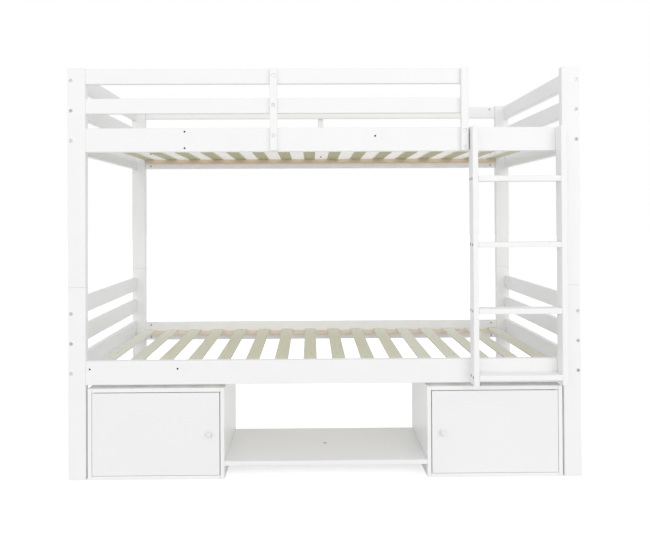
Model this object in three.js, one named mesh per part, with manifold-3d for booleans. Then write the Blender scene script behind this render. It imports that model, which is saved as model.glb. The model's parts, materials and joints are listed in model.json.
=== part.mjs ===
// A white bunk bed for two single mattresses. Under its lower berth stand two cabinets with a
// shelf between them. Every board, post, rung, panel, pin and knob is a mesh of its own.
//
// Millimetres. X runs along the bed, Y from its front to its back, Z up. The floor is Z = 0.

import * as THREE from 'three';
import { mergeVertices } from 'three/addons/utils/BufferGeometryUtils.js';
import Module from 'manifold-3d';

// Frame
const frameLength = 2080;
const frameDepth = 985;
const lowerPostHeight = 776;
const upperPostHeight = 889;
const postWidth = 72;
const postThickness = 32;
const railThickness = 26;
const sideRailHeight = 97;
const lowerRailRise = 382.5;
const upperRailAboveJoint = 547.5;

// Pins that join an upper post to a lower one
const postPinDiameter = 10;
const postPinSpacing = 36;
const postPinReach = 40;

// End rails: a deep low one and two slimmer ones above it, at each end of each berth
const endRailHeight = 70;
const lowEndRailHeight = 106;
const lowEndRailDrop = 1.5;
const upperEndDrop = 4;
const lowerEndDrop = 50;

// Guard rails round the upper berth, and the upright posts bolted across them
const guardRailCount = 2;
const guardRailHeight = 62;
const guardRailThickness = 22;
const guardPostWidth = 30;
const guardPostThickness = 22;
const guardPostFoot = 2;
const guardPostTopDrop = 2;
const middleGuardPostFromCentre = 206;
const guardToLadder = 4.5;

// Ladder
const ladderWidth = 377;
const ladderFromEnd = 76;
const ladderRailWidth = 23;
const ladderDepth = 60;
const ladderTopDrop = 2;
const rungCount = 4;
const rungThickness = 23;
const firstRungRise = 31.5;
const lastRungDrop = 211;

// Slats and the two cleats that carry them
const slatCount = 16;
const slatWidth = 58;
const slatThickness = 8;
const slatEndGap = 40;
const slatToPost = 1.5;
const slatSeatDepth = 1;
const cleatHeight = 22;
const cleatThickness = 22;
const cleatToPost = 12;
const cleatRise = 28;

// Cabinets
const cabinetWidth = 550;
const cabinetDepth = 410;
const cabinetTopGap = 14;
const cabinetToPost = 7;
const panelThickness = 16;
const backThickness = 3;
const backInset = 2;
const doorThickness = 16;
const doorTopGap = 3;
const doorBottomGap = 1.5;
const doorFreeGap = 3;
const doorHingeGap = 1.2;
const knobDiameter = 25;
const knobLength = 24;
const knobFootDiameter = 14;
const knobFootHeight = 2;
const knobWaistDiameter = 10.5;
const knobHeadLength = 11.5;
const knobHeadLip = 1.2;
const knobFromEdge = 42;
const knobScrewDiameter = 5;
const pivotDiameter = 5;
const pivotFlangeDiameter = 9;
const pivotInset = 5;
const pivotReach = 10;

// Shelf
const shelfTop = 72.5;
const shelfThickness = 18;
const shelfDepth = 402;
const shelfFootSize = 46;
const shelfFootFromFront = 203;

// Bolt holes. A counterbore takes a bolt's head, a cross hole takes its barrel nut, and the
// front side rails also keep the plain holes for a ladder and guard fitted the other way round.
const headDiameter = 14;
const headDepth = 4;
const nutDiameter = 10;
const nutDepth = 18;
const nutFromEnd = 30;
const plainHoleDiameter = 8;
const upperEndBoltRise = 23;
const lowerEndBoltRise = 14.5;
const lowEndBoltRise = 48;
const sideBoltMargin = 15;
const guardBoltDrop = 14;
const guardFootBoltRise = 62.5;
const ladderBoltRise = 64;
const rungScrewDiameter = 13;
const rungScrewDepth = 4;
const rungScrewSpacing = 33;

// Finish and fit
const edgeRadius = 3;
const endEase = 1.5;
const panelEase = 1;
const squareEnd = 0;
const seatGap = 0.3;
const runningGap = 0.4;
const throughMargin = 2;

// Facets of the round forms
const holeSides = 10;
const smallHoleSides = 8;
const pinSides = 12;
const knobSides = 16;
const knobNeckSteps = 3;
const knobDomeSteps = 6;

// Places that follow from those sizes
const halfLength = frameLength / 2;
const frontFace = -frameDepth / 2;
const rearFace = frameDepth / 2;
const postInside = halfLength - postWidth;
const postInnerFace = frameDepth / 2 - postThickness;
const railInnerFace = frameDepth / 2 - railThickness;
const endRailInnerFace = halfLength - railThickness;
const postTop = lowerPostHeight + upperPostHeight;
const upperRailRise = lowerPostHeight + upperRailAboveJoint;
const guardTop = postTop - upperEndDrop;
const upperSideRailTop = upperRailRise + sideRailHeight;
const endBoltX = halfLength - railThickness / 2;
const sideBoltY = frameDepth / 2 - railThickness / 2;

const berths = [
  {
    name: 'lower',
    railRise: lowerRailRise,
    endTop: lowerPostHeight - lowerEndDrop,
    endBoltRise: lowerEndBoltRise,
  },
  {
    name: 'upper',
    railRise: upperRailRise,
    endTop: guardTop,
    endBoltRise: upperEndBoltRise,
  },
];

const ladderRight = halfLength - ladderFromEnd;
const ladderLeft = ladderRight - ladderWidth;
const ladderRailCentres = [ladderLeft + ladderRailWidth / 2, ladderRight - ladderRailWidth / 2];
const ladderFront = frontFace - seatGap - ladderDepth;
const ladderFoot = lowerRailRise;
const ladderTop = upperSideRailTop - ladderTopDrop;

const guardPostFront = frontFace - seatGap - guardPostThickness;
const rearGuardPostBack = rearFace + seatGap + guardPostThickness;
const guardEnd = ladderLeft - guardToLadder;
const endGuardPostCentre = guardEnd - guardPostWidth / 2;

// Materials
function paint(colour, roughness) {
  return new THREE.MeshStandardMaterial({ color: colour, roughness, metalness: 0 });
}

const whitePaint = paint(0xf4f4f2, 0.42);
const whitePanel = paint(0xf2f2f1, 0.36);
const whiteKnob = paint(0xf0f0ee, 0.3);
const bareSlat = paint(0xd9d3b6, 0.72);
const zinc = new THREE.MeshStandardMaterial({ color: 0xb9bbbd, roughness: 0.38, metalness: 0.9 });

// Booleans
const manifold = await Module();
manifold.setup();

function solidOf(geometry) {
  const bare = geometry.clone();
  bare.deleteAttribute('normal');
  bare.deleteAttribute('uv');
  const merged = mergeVertices(bare, 1e-4);
  return new manifold.Manifold(new manifold.Mesh({
    numProp: 3,
    vertProperties: new Float32Array(merged.attributes.position.array),
    triVerts: new Uint32Array(merged.index.array),
  }));
}

function geometryOf(solid) {
  const mesh = solid.getMesh();
  const geometry = new THREE.BufferGeometry();
  geometry.setAttribute('position', new THREE.BufferAttribute(new Float32Array(mesh.vertProperties), 3));
  geometry.setIndex(new THREE.BufferAttribute(new Uint32Array(mesh.triVerts), 1));
  const faceted = geometry.toNonIndexed();
  faceted.computeVertexNormals();
  return faceted;
}

function cutAll(geometry, cuts) {
  if (cuts.length === 0) return geometry;
  const cut = cuts.reduce((solid, tool) => solid.subtract(solidOf(tool)), solidOf(geometry));
  return geometryOf(cut);
}

function joinAll(geometries) {
  const [first, ...rest] = geometries.map(solidOf);
  return geometryOf(rest.reduce((solid, next) => solid.add(next), first));
}

// Basic forms
const lengthwise = {
  x: new THREE.Matrix4().makeBasis(
    new THREE.Vector3(0, 1, 0), new THREE.Vector3(0, 0, 1), new THREE.Vector3(1, 0, 0)),
  y: new THREE.Matrix4().makeBasis(
    new THREE.Vector3(0, 0, 1), new THREE.Vector3(1, 0, 0), new THREE.Vector3(0, 1, 0)),
  z: new THREE.Matrix4(),
};

function roundedSection(width, height, radius) {
  const x = width / 2 - radius;
  const y = height / 2 - radius;
  const section = new THREE.Shape();
  section.absarc(x, y, radius, 0, Math.PI / 2);
  section.absarc(-x, y, radius, Math.PI / 2, Math.PI);
  section.absarc(-x, -y, radius, Math.PI, 1.5 * Math.PI);
  section.absarc(x, -y, radius, 1.5 * Math.PI, 2 * Math.PI);
  return section;
}

function chamferedSection(width, height, chamfer) {
  const x = width / 2;
  const y = height / 2;
  const corners = [
    [x, y - chamfer], [x - chamfer, y], [chamfer - x, y], [-x, y - chamfer],
    [-x, chamfer - y], [chamfer - x, -y], [x - chamfer, -y], [x, chamfer - y],
  ];
  return new THREE.Shape(corners.map(([across, up]) => new THREE.Vector2(across, up)));
}

function carried(section, length, along, ease) {
  const geometry = new THREE.ExtrudeGeometry(section, {
    depth: length - 2 * ease,
    curveSegments: 1,
    bevelEnabled: ease > 0,
    bevelSegments: 1,
    bevelThickness: ease,
    bevelSize: ease,
    bevelOffset: -ease,
  });
  geometry.translate(0, 0, ease - length / 2);
  return geometry.applyMatrix4(lengthwise[along]);
}

function sawnSizes([sizeX, sizeY, sizeZ], along) {
  return { x: [sizeX, sizeY, sizeZ], y: [sizeY, sizeZ, sizeX], z: [sizeZ, sizeX, sizeY] }[along];
}

// A planed board: its section with rounded corners, carried along its length. Its ends are
// eased where they show and cut square where they butt against a post.
function planedBoard(size, along, ease) {
  const [length, width, height] = sawnSizes(size, along);
  return carried(roundedSection(width, height, edgeRadius), length, along, ease);
}

// A panel or slat: a plain section with a small chamfer along its edges.
function plainBoard(size, along) {
  const [length, width, height] = sawnSizes(size, along);
  return carried(chamferedSection(width, height, panelEase), length, along, 0);
}

const turnedTo = {
  x: geometry => geometry.rotateZ(-Math.PI / 2),
  y: geometry => geometry,
  z: geometry => geometry.rotateX(Math.PI / 2),
};

// A round hole that starts just outside a face and goes inwards along one axis.
function hole([x, y, z], axis, inwards, diameter, depth, sides = holeSides) {
  const length = depth + throughMargin;
  const shift = inwards * (depth - throughMargin) / 2;
  const tool = turnedTo[axis](new THREE.CylinderGeometry(diameter / 2, diameter / 2, length, sides));
  const offset = { x: [shift, 0, 0], y: [0, shift, 0], z: [0, 0, shift] }[axis];
  return tool.translate(x + offset[0], y + offset[1], z + offset[2]);
}

function place(parent, name, material, geometry, position) {
  const mesh = new THREE.Mesh(geometry, material);
  mesh.name = name;
  mesh.position.set(...position);
  parent.add(mesh);
  return mesh;
}

// Puts a piece in the box of its three ranges. The cuts are in the parent's own coordinates.
function placeInBox(parent, name, material, ranges, form, cuts = []) {
  const size = ranges.map(([low, high]) => high - low);
  const centre = ranges.map(([low, high]) => (low + high) / 2);
  const tools = cuts.map(cut => cut.translate(-centre[0], -centre[1], -centre[2]));
  return place(parent, name, material, cutAll(form(size), tools), centre);
}

function placeBoard(parent, name, ranges, along, cuts = [], ease = endEase) {
  return placeInBox(parent, name, whitePaint, ranges, size => planedBoard(size, along, ease), cuts);
}

function placePanel(parent, name, ranges, along, cuts = []) {
  return placeInBox(parent, name, whitePanel, ranges, size => plainBoard(size, along), cuts);
}

// The range from a to b, counted outwards from the centre on one side of it.
function sided(side, a, b) {
  return side > 0 ? [a, b] : [-b, -a];
}

const ends = [{ name: 'left', side: -1 }, { name: 'right', side: 1 }];
const faces = [{ name: 'front', side: -1 }, { name: 'rear', side: 1 }];

// Rail heights, shared by the rails and by the posts that they are bolted to
function sideRailBolts(berth) {
  return [berth.railRise + sideBoltMargin, berth.railRise + sideRailHeight - sideBoltMargin];
}

function endRails(berth) {
  const low = { name: 'bottom', height: lowEndRailHeight, bottom: berth.railRise - lowEndRailDrop };
  const top = { name: 'top', height: endRailHeight, bottom: berth.endTop - endRailHeight };
  const middle = { name: 'middle', height: endRailHeight };
  middle.bottom = (low.bottom + low.height + top.bottom - middle.height) / 2;
  low.bolt = low.bottom + lowEndBoltRise;
  top.bolt = top.bottom + berth.endBoltRise;
  middle.bolt = (low.bolt + top.bolt) / 2;
  return [low, middle, top];
}

function guardRails() {
  const space = guardTop - upperSideRailTop;
  const gap = (space - guardRailCount * guardRailHeight) / guardRailCount;
  return Array.from({ length: guardRailCount }, (_, index) => {
    const bottom = guardTop - guardRailHeight - index * (guardRailHeight + gap);
    const top = bottom + guardRailHeight;
    return { bottom, top, bolt: top - guardBoltDrop, centre: bottom + guardRailHeight / 2 };
  });
}

const [lowerBerth, upperBerth] = berths;
const guards = guardRails();

const bed = new THREE.Group();
bed.position.y = -(ladderFront + rearGuardPostBack) / 2;

// Corner posts, each in two halves. The pins stand in the lower half, and the upper half has
// the holes that drop over them.
const pinOffsets = [-postPinSpacing / 2, postPinSpacing / 2];

function postPins(x, y) {
  const radius = postPinDiameter / 2;
  return pinOffsets.map(offset => turnedTo.z(
    new THREE.CylinderGeometry(radius, radius, 2 * postPinReach, pinSides)
  ).translate(x + offset, y, lowerPostHeight));
}

function postPinHoles(x, y) {
  const foot = lowerPostHeight + seatGap;
  const diameter = postPinDiameter + 2 * runningGap;
  return pinOffsets.map(offset => hole(
    [x + offset, y, foot], 'z', 1, diameter, postPinReach + runningGap, pinSides));
}

function postBoltHoles(end, face, berth, guardHeights) {
  const outerX = end.side * halfLength;
  const outerY = face.side * frameDepth / 2;
  const faceHoles = endRails(berth).map(rail => hole(
    [end.side * endBoltX, outerY, rail.bolt], 'y', -face.side, headDiameter, headDepth));
  const sideHoles = [...sideRailBolts(berth), ...guardHeights].map(height => hole(
    [outerX, face.side * sideBoltY, height], 'x', -end.side, headDiameter, headDepth));
  return [...faceHoles, ...sideHoles];
}

for (const end of ends) {
  for (const face of faces) {
    const x = sided(end.side, postInside, halfLength);
    const y = sided(face.side, postInnerFace, rearFace);
    const centreX = end.side * (halfLength - postWidth / 2);
    const centreY = face.side * (rearFace - postThickness / 2);
    const label = `${face.name}_${end.name}`;
    const guarded = face.name === 'rear' || end.name === 'left';
    const guardHeights = guarded ? guards.map(guard => guard.bolt) : [];

    const lowerPost = placeBoard(bed, `${label}_lower_post`,
      [x, y, [0, lowerPostHeight]], 'z', postBoltHoles(end, face, lowerBerth, []));
    const middle = lowerPostHeight / 2;
    const pins = postPins(centreX, centreY).map(pin => pin.translate(-centreX, -centreY, -middle));
    lowerPost.geometry = joinAll([lowerPost.geometry, ...pins]);

    placeBoard(bed, `${label}_upper_post`,
      [x, y, [lowerPostHeight + seatGap, postTop]], 'z',
      [...postBoltHoles(end, face, upperBerth, guardHeights), ...postPinHoles(centreX, centreY)]);
  }
}

// End rails, between the front and rear posts and flush with their outer sides
for (const berth of berths) {
  for (const end of ends) {
    for (const rail of endRails(berth)) {
      const reach = postInnerFace - seatGap;
      const nuts = faces.map(face => hole(
        [end.side * endRailInnerFace, face.side * (postInnerFace - nutFromEnd), rail.bolt],
        'x', end.side, nutDiameter, nutDepth));
      placeBoard(bed, `${end.name}_${berth.name}_end_${rail.name}_rail`,
        [sided(end.side, endRailInnerFace, halfLength), [-reach, reach],
          [rail.bottom, rail.bottom + rail.height]], 'y', nuts, squareEnd);
    }
  }
}

// Side rails, between the left and right posts and flush with their outer faces
function plainHole(x, z, face = faces[0]) {
  return hole([x, face.side * rearFace, z], 'y', -face.side, plainHoleDiameter,
    railThickness + throughMargin);
}

function sideRailHoles(berth, face) {
  if (berth.name === 'lower') {
    if (face.name === 'rear') return [];
    const height = lowerRailRise + ladderBoltRise;
    return ladderRailCentres.flatMap(x => [plainHole(x, height), plainHole(-x, height)]);
  }
  const footBolt = upperRailRise + guardFootBoltRise;
  if (face.name === 'rear') return [plainHole(0, footBolt, face)];
  const endPost = sideRailBolts(upperBerth).flatMap(
    height => [plainHole(endGuardPostCentre, height), plainHole(-endGuardPostCentre, height)]);
  const middlePost = [-1, 1].map(side => plainHole(side * middleGuardPostFromCentre, footBolt));
  return [...endPost, ...middlePost];
}

for (const berth of berths) {
  for (const face of faces) {
    const reach = postInside - seatGap;
    const nuts = ends.flatMap(end => sideRailBolts(berth).map(height => hole(
      [end.side * (postInside - nutFromEnd), face.side * railInnerFace, height],
      'y', face.side, nutDiameter, nutDepth)));
    placeBoard(bed, `${face.name}_${berth.name}_side_rail`,
      [[-reach, reach], sided(face.side, railInnerFace, rearFace),
        [berth.railRise, berth.railRise + sideRailHeight]], 'x',
      [...nuts, ...sideRailHoles(berth, face)], squareEnd);
  }
}

// Guard rails. At the front they stop at the ladder, and at the back they reach both posts.
const guardInnerFace = rearFace - guardRailThickness;

guards.forEach((guard, index) => {
  const level = index === 0 ? 'top' : 'lower';
  const height = [guard.bottom, guard.top];
  const left = -postInside + seatGap;
  const nutX = postInside - nutFromEnd;
  placeBoard(bed, `front_${level}_guard_rail`,
    [[left, guardEnd], [frontFace, -guardInnerFace], height], 'x',
    [hole([-nutX, -guardInnerFace, guard.bolt], 'y', -1, nutDiameter, nutDepth)]);
  placeBoard(bed, `rear_${level}_guard_rail`,
    [[left, -left], [guardInnerFace, rearFace], height], 'x',
    ends.map(end => hole([end.side * nutX, guardInnerFace, guard.bolt], 'y', 1, nutDiameter, nutDepth)),
    squareEnd);
});

const guardPostHeight = [upperRailRise + guardPostFoot, guardTop - guardPostTopDrop];

function guardPost(name, centre, outerFace, outwards, boltHeights) {
  const x = [centre - guardPostWidth / 2, centre + guardPostWidth / 2];
  const inner = outerFace - outwards * guardPostThickness;
  const y = [Math.min(inner, outerFace), Math.max(inner, outerFace)];
  const bolts = boltHeights.map(
    height => hole([centre, outerFace, height], 'y', -outwards, headDiameter, headDepth));
  placeBoard(bed, name, [x, y, guardPostHeight], 'z', bolts);
}

const middlePostBolts = [...guards.map(guard => guard.centre), upperRailRise + guardFootBoltRise];
guardPost('front_middle_guard_post', -middleGuardPostFromCentre, guardPostFront, -1, middlePostBolts);
guardPost('front_end_guard_post', endGuardPostCentre, guardPostFront, -1, sideRailBolts(upperBerth));
guardPost('rear_guard_post', 0, rearGuardPostBack, 1, middlePostBolts);

// Ladder, standing against the front faces of both side rails
const ladder = new THREE.Group();
ladder.position.set((ladderLeft + ladderRight) / 2, frontFace - seatGap - ladderDepth / 2, 0);
bed.add(ladder);

const ladderSpan = [ladderFoot + firstRungRise, ladderTop - lastRungDrop];
const rungHeights = Array.from({ length: rungCount }, (_, index) => THREE.MathUtils.lerp(
  ladderSpan[0], ladderSpan[1], index / (rungCount - 1)));

for (const end of ends) {
  const outer = end.side * ladderWidth / 2;
  const screws = rungHeights.flatMap(height => [-1, 1].map(row => hole(
    [outer, row * rungScrewSpacing / 2, height], 'x', -end.side,
    rungScrewDiameter, rungScrewDepth, smallHoleSides)));
  placeBoard(ladder, `ladder_${end.name}_rail`,
    [sided(end.side, ladderWidth / 2 - ladderRailWidth, ladderWidth / 2),
      [-ladderDepth / 2, ladderDepth / 2], [ladderFoot, ladderTop]], 'z', screws);
}

rungHeights.forEach((height, index) => {
  const reach = ladderWidth / 2 - ladderRailWidth - seatGap;
  placeBoard(ladder, `ladder_rung_${index + 1}`,
    [[-reach, reach], [-ladderDepth / 2, ladderDepth / 2],
      [height - rungThickness / 2, height + rungThickness / 2]], 'x');
});

// Slat bases. The slats are let a little into the cleats that carry them.
function slatBase(berth) {
  const cleatBottom = berth.railRise + cleatRise;
  const cleatTop = cleatBottom + cleatHeight;
  const slatBottom = cleatTop - slatSeatDepth;
  const slatLength = 2 * (postInnerFace - slatToPost);
  const cleatLength = 2 * (postInside - cleatToPost);
  const cleatCentre = railInnerFace - seatGap - cleatThickness / 2;
  const cleats = faces.map(face => plainBoard(
    [cleatLength, cleatThickness, cleatHeight], 'x'
  ).translate(0, face.side * cleatCentre, (cleatBottom + cleatTop) / 2));
  const firstSlat = -endRailInnerFace + slatEndGap + slatWidth / 2;
  const slats = Array.from({ length: slatCount }, (_, index) => plainBoard(
    [slatWidth, slatLength, slatThickness], 'y'
  ).translate(
    THREE.MathUtils.lerp(firstSlat, -firstSlat, index / (slatCount - 1)),
    0,
    slatBottom + slatThickness / 2));
  const centre = (cleatBottom + slatBottom + slatThickness) / 2;
  const base = joinAll([...cleats, ...slats]).translate(0, 0, -centre);
  place(bed, `${berth.name}_slat_base`, bareSlat, base, [0, 0, centre]);
}

berths.forEach(slatBase);

// Cabinets. Each is a group with its origin at the floor, under the middle of its front edge.
const cabinetHeight = lowerRailRise - cabinetTopGap;
const cabinetOuter = postInside - cabinetToPost;
const cabinetInner = cabinetOuter - cabinetWidth;
const doorBottom = panelThickness + doorBottomGap;
const doorTop = cabinetHeight - panelThickness - doorTopGap;
const doorWidth = cabinetWidth - 2 * panelThickness - doorHingeGap - doorFreeGap;
const pivotHoleDiameter = pivotDiameter + 2 * runningGap;

// A pin with a flange that keeps the door off the panel: one end in the panel, one in the door.
// It stands close to the door's front corner, so that this corner clears the side as it turns.
function pivotGeometry(gap) {
  const pin = pivotDiameter / 2;
  const flange = pivotFlangeDiameter / 2;
  const half = gap / 2 - seatGap;
  const tip = half + pivotReach;
  const profile = [
    [0, -tip], [pin, -tip], [pin, -half], [flange, -half],
    [flange, half], [pin, half], [pin, tip], [0, tip],
  ].map(([radius, height]) => new THREE.Vector2(radius, height));
  return turnedTo.z(new THREE.LatheGeometry(profile, pinSides));
}

// A turned knob: a foot, a waist and a domed head, revolved about its own axis.
function knobGeometry() {
  const head = knobDiameter / 2;
  const foot = knobFootDiameter / 2;
  const waist = knobWaistDiameter / 2;
  const domeStart = knobLength - knobHeadLength;
  const neckEnd = domeStart - knobHeadLip;
  const neck = new THREE.QuadraticBezierCurve(
    new THREE.Vector2(waist, 2 * knobFootHeight),
    new THREE.Vector2(waist, neckEnd - knobFootHeight),
    new THREE.Vector2(head - knobHeadLip, neckEnd));
  const dome = Array.from({ length: knobDomeSteps }, (_, step) => {
    const angle = step / knobDomeSteps * Math.PI / 2;
    return new THREE.Vector2(head * Math.cos(angle), domeStart + knobHeadLength * Math.sin(angle));
  });
  const profile = [
    new THREE.Vector2(0, 0), new THREE.Vector2(foot, 0), new THREE.Vector2(foot, knobFootHeight),
    ...neck.getPoints(knobNeckSteps), ...dome, new THREE.Vector2(0, knobLength),
  ];
  return new THREE.LatheGeometry(profile, knobSides).rotateX(Math.PI);
}

function cabinet(end) {
  const { name, side } = end;
  const half = cabinetWidth / 2;
  const bodyDepth = cabinetDepth - backThickness - seatGap;
  const group = new THREE.Group();
  group.position.set(side * (cabinetInner + half), frontFace, 0);
  bed.add(group);

  const depthRange = [0, bodyDepth];
  const pivotX = side * (half - panelThickness - doorHingeGap - pivotInset);
  const panelHole = (height, upwards) => hole(
    [pivotX, pivotInset, height], 'z', upwards, pivotHoleDiameter, pivotReach + seatGap);
  placePanel(group, `${name}_cabinet_outer_side`,
    [sided(side, half - panelThickness, half), depthRange, [0, cabinetHeight]], 'z');
  placePanel(group, `${name}_cabinet_inner_side`,
    [sided(-side, half - panelThickness, half), depthRange, [0, cabinetHeight]], 'z');
  const reach = half - panelThickness - seatGap;
  placePanel(group, `${name}_cabinet_bottom`,
    [[-reach, reach], depthRange, [0, panelThickness]], 'x', [panelHole(panelThickness, -1)]);
  placePanel(group, `${name}_cabinet_top`,
    [[-reach, reach], depthRange, [cabinetHeight - panelThickness, cabinetHeight]], 'x',
    [panelHole(cabinetHeight - panelThickness, 1)]);
  placePanel(group, `${name}_cabinet_back`,
    [[backInset - half, half - backInset], [cabinetDepth - backThickness, cabinetDepth],
      [backInset, cabinetHeight - backInset]], 'z');

  const pivots = [
    { level: 'bottom', gap: doorBottomGap, height: doorBottom - doorBottomGap / 2 },
    { level: 'top', gap: doorTopGap, height: doorTop + doorTopGap / 2 },
  ];
  for (const { level, gap, height } of pivots) {
    place(group, `${name}_door_${level}_pivot`, zinc, pivotGeometry(gap), [pivotX, pivotInset, height]);
  }

  // The door hangs in a group whose origin is on the pivots' own axis.
  const swing = new THREE.Group();
  swing.position.set(pivotX, pivotInset, 0);
  group.add(swing);
  const far = -side * (doorWidth - pivotInset);
  const near = side * pivotInset;
  const knobX = far + side * knobFromEdge;
  const knobZ = (doorBottom + doorTop) / 2;
  const depth = pivotReach + seatGap;
  placeInBox(swing, `${name}_door`, whitePanel,
    [[Math.min(far, near), Math.max(far, near)], [-pivotInset, doorThickness - pivotInset],
      [doorBottom, doorTop]], size => planedBoard(size, 'z', panelEase),
    [hole([0, 0, doorBottom], 'z', 1, pivotHoleDiameter, depth),
      hole([0, 0, doorTop], 'z', -1, pivotHoleDiameter, depth),
      hole([knobX, -pivotInset, knobZ], 'y', 1, knobScrewDiameter, doorThickness + throughMargin,
        smallHoleSides)]);
  place(swing, `${name}_door_knob`, whiteKnob, knobGeometry(), [knobX, -pivotInset - seatGap, knobZ]);
}

ends.forEach(cabinet);

// Shelf between the cabinets, with a foot under its middle
const shelfBottom = shelfTop - shelfThickness;
const shelfReach = cabinetInner - seatGap;
placePanel(bed, 'shelf',
  [[-shelfReach, shelfReach], [frontFace, frontFace + shelfDepth], [shelfBottom, shelfTop]], 'x');
const footY = frontFace + shelfFootFromFront;
placeBoard(bed, 'shelf_foot',
  [[-shelfFootSize / 2, shelfFootSize / 2], [footY - shelfFootSize / 2, footY + shelfFootSize / 2],
    [0, shelfBottom - seatGap]], 'z');

export default bed;
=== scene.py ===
# %% [markdown]
# # A bunk bed with cabinets under it
# The real bed is a kit of planed boards in white lacquer, bolted together, with bare timber slats
# and a row of low cabinets under the lower berth. Its measured frame is already packed: every
# board has its place and size there. The lesson turns each plain solid into the finished piece,
# with rounded edges, drilled holes, screws, grain and paint, and moves none of them.

import json
from math import cos, pi, radians, sin

import bmesh
import bpy
from mathutils import Matrix, Vector

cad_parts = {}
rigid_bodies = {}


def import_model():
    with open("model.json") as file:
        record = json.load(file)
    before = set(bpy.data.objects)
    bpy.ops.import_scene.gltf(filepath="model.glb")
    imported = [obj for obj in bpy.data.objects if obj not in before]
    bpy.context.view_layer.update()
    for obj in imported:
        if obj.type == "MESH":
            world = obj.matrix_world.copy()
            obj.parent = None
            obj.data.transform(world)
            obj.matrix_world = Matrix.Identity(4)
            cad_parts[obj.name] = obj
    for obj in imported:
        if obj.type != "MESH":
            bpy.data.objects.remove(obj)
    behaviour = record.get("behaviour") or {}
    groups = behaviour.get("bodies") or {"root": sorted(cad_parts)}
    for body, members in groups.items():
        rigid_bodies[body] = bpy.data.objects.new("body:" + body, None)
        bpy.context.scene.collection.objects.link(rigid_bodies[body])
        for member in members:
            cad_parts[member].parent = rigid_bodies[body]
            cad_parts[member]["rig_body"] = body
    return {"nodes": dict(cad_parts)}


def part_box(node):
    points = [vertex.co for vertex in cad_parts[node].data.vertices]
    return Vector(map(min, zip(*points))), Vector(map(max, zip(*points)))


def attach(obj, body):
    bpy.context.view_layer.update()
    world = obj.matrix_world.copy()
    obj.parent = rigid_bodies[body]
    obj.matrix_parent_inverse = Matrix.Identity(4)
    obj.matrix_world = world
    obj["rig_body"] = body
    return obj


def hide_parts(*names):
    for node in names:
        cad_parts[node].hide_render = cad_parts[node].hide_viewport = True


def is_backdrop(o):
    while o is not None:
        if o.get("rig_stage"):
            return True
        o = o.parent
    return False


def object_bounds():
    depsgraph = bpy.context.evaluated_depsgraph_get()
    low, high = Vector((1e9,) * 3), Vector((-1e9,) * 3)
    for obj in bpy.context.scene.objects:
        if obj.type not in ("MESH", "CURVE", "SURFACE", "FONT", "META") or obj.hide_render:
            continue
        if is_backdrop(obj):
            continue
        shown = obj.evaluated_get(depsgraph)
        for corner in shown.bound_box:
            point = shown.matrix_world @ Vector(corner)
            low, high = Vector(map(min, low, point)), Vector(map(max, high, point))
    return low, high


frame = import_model()
cad_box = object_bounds()
cad_size = [round(side, 4) for side in cad_box[1] - cad_box[0]]
print(len(frame["nodes"]), "nodes, size in metres:", cad_size)

# %% [markdown]
# ## The camera
# A likeness starts with the viewpoint. One could turn a camera until the picture looks right, but
# the eye forgives wrong lens lengths. Here the camera comes from a fit: the edges of the posts and
# rails were measured in the picture, and a pinhole camera was solved for them. Its principal
# point isn't the picture's middle, as in any cropped picture, and Blender's lens shift holds that.

# %% Camera
PHOTO_WIDTH, PHOTO_HEIGHT = 650, 551
FOCAL_PIXELS = 652.1
PRINCIPAL_X, PRINCIPAL_Y = 317.4, 209.4
SENSOR_WIDTH = 36
EYE = Vector((-0.0576, -3.1185, 1.0652))
YAW, PITCH, ROLL = 0.0103, 0.0086, -0.0049

lens = bpy.data.cameras.new("camera")
lens.sensor_fit = "HORIZONTAL"
lens.sensor_width = SENSOR_WIDTH
lens.lens = FOCAL_PIXELS / PHOTO_WIDTH * SENSOR_WIDTH
lens.shift_x = (PHOTO_WIDTH / 2 - PRINCIPAL_X) / PHOTO_WIDTH
lens.shift_y = (PRINCIPAL_Y - PHOTO_HEIGHT / 2) / PHOTO_WIDTH
camera = bpy.data.objects.new("camera", lens)
camera.matrix_world = (
    Matrix.Translation(EYE)
    @ Matrix.Rotation(-YAW, 4, "Z")
    @ Matrix.Rotation(pi / 2 + PITCH, 4, "X")
    @ Matrix.Rotation(ROLL, 4, "Z")
)
bpy.context.scene.collection.objects.link(camera)
bpy.context.scene.camera = camera
print("lens in mm:", round(lens.lens, 2), "shift:", round(lens.shift_x, 4), round(lens.shift_y, 4))

# %% [markdown]
# ## Shader maths
# A procedural material is a small sum over the surface: grain, plus edge wear, less a little
# gloss. Wired by hand it is a page of nodes. A class that wraps one output socket lets Python's
# own operators add the Math nodes, so that each finish below reads as the sum that it is.

# %% Sockets as values
MIX_A, MIX_B, MIX_RESULT = 6, 7, 2
PATTERN_SPREAD = 40.0


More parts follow.
